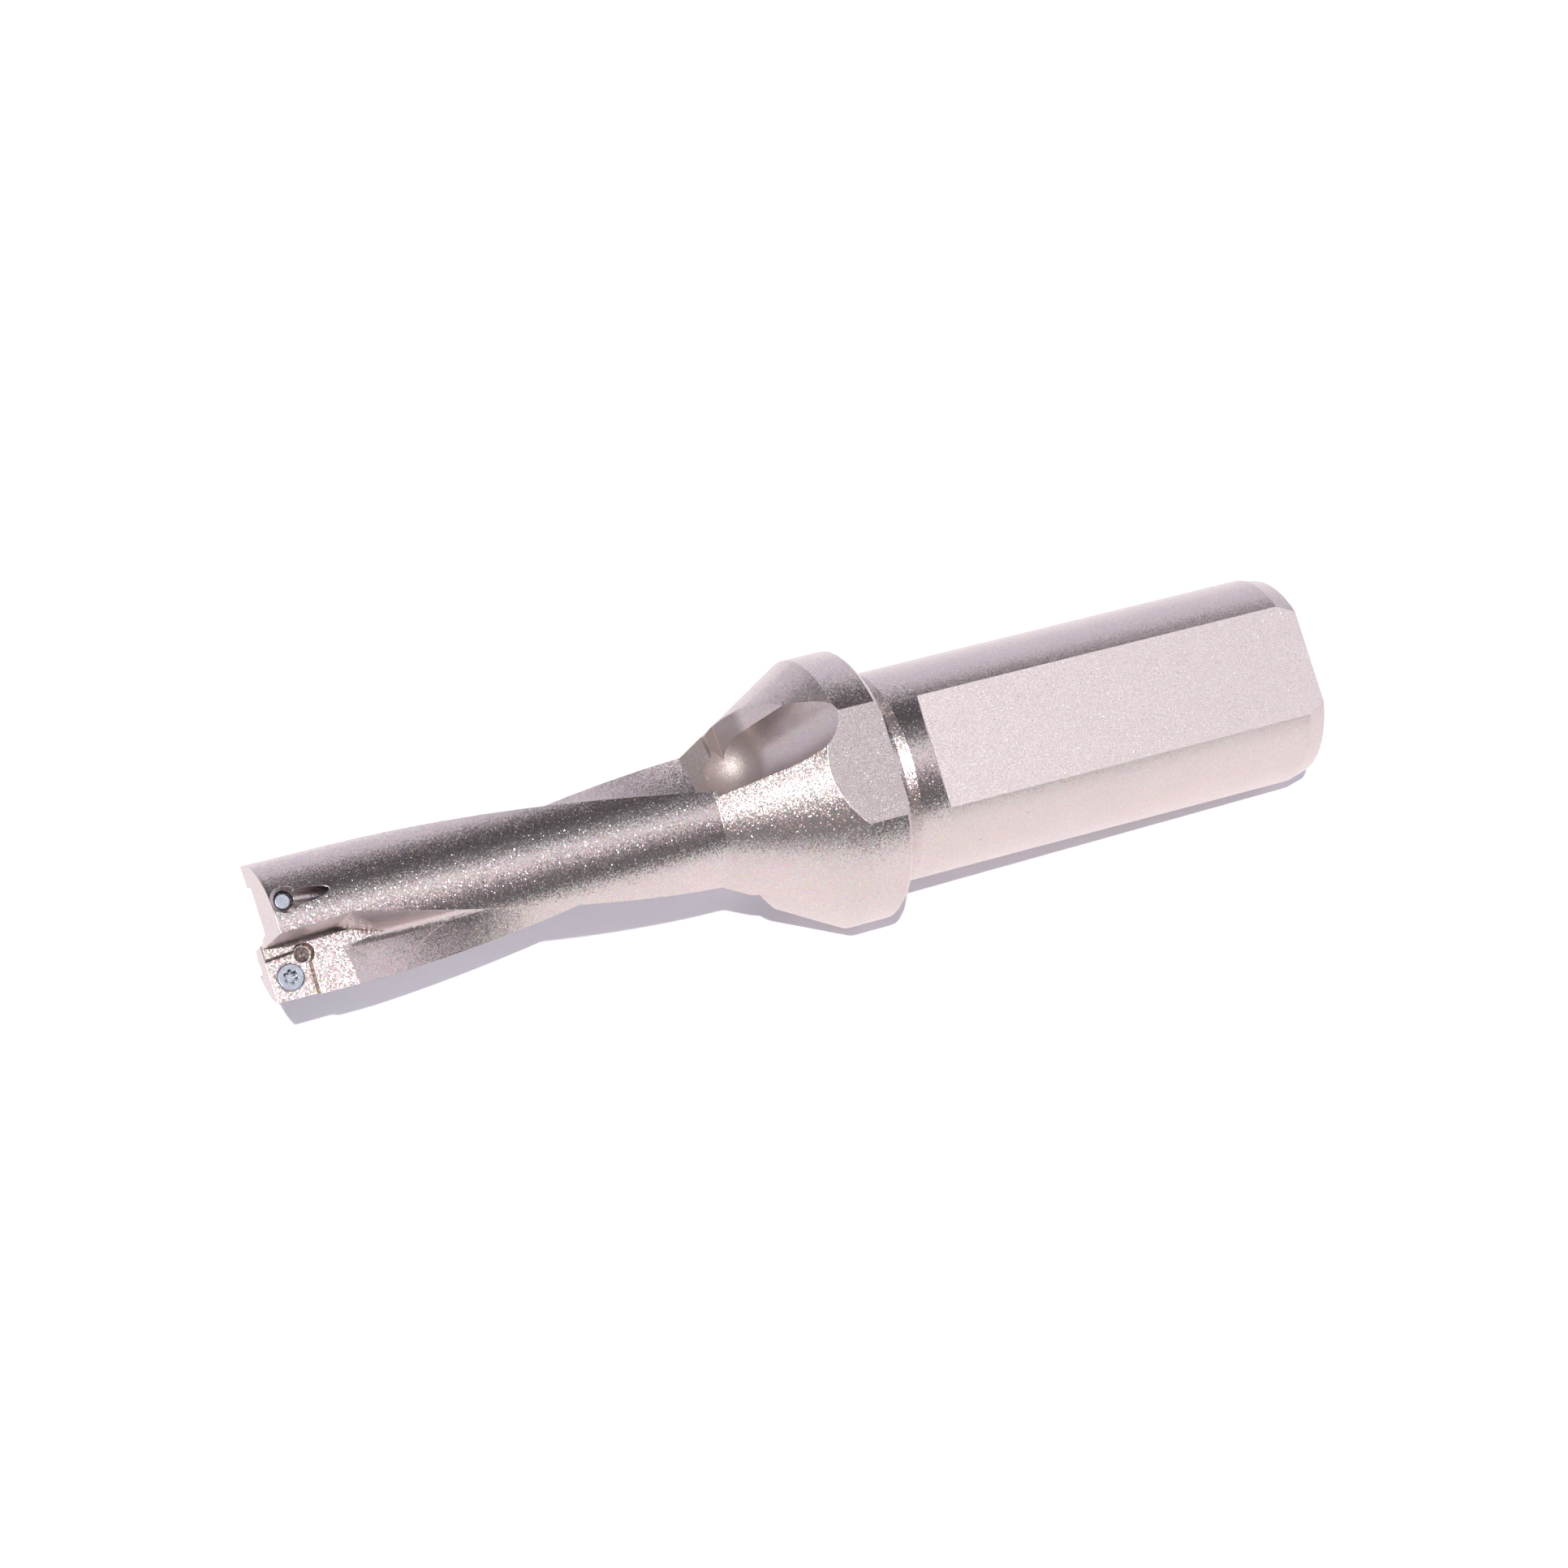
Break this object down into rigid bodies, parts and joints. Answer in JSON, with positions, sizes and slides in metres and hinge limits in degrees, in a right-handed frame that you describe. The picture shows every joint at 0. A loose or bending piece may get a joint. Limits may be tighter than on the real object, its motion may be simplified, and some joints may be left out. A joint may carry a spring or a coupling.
{
  "type": "indexable insert drill",
  "caption": "Indexable insert drill with a flatted cylindrical shank, collar, twisted chip flutes and empty insert pockets holding their clamp screws.",
  "frame": {"origin": "centre of the flat rear end of the shank, the face that the drill stands on", "axes": "+Z along the drill's axis towards the cutting end; the clamping flat of the shank and the flat of the collar face -Y; the peripheral insert pocket opens towards -Y on the -X side and the central one towards +Y on the +X side"},
  "size_m": [0.032, 0.0305, 0.129],
  "materials": {
    "nickel_plated_steel": "satin nickel plating over a bead-blasted and milled steel body",
    "screw_steel": "bright bluish steel"
  },
  "bodies": {
    "root": {"drill_body": "nickel_plated_steel", "peripheral_screw": "screw_steel", "central_screw": "screw_steel"}
  },
  "joints": []
}
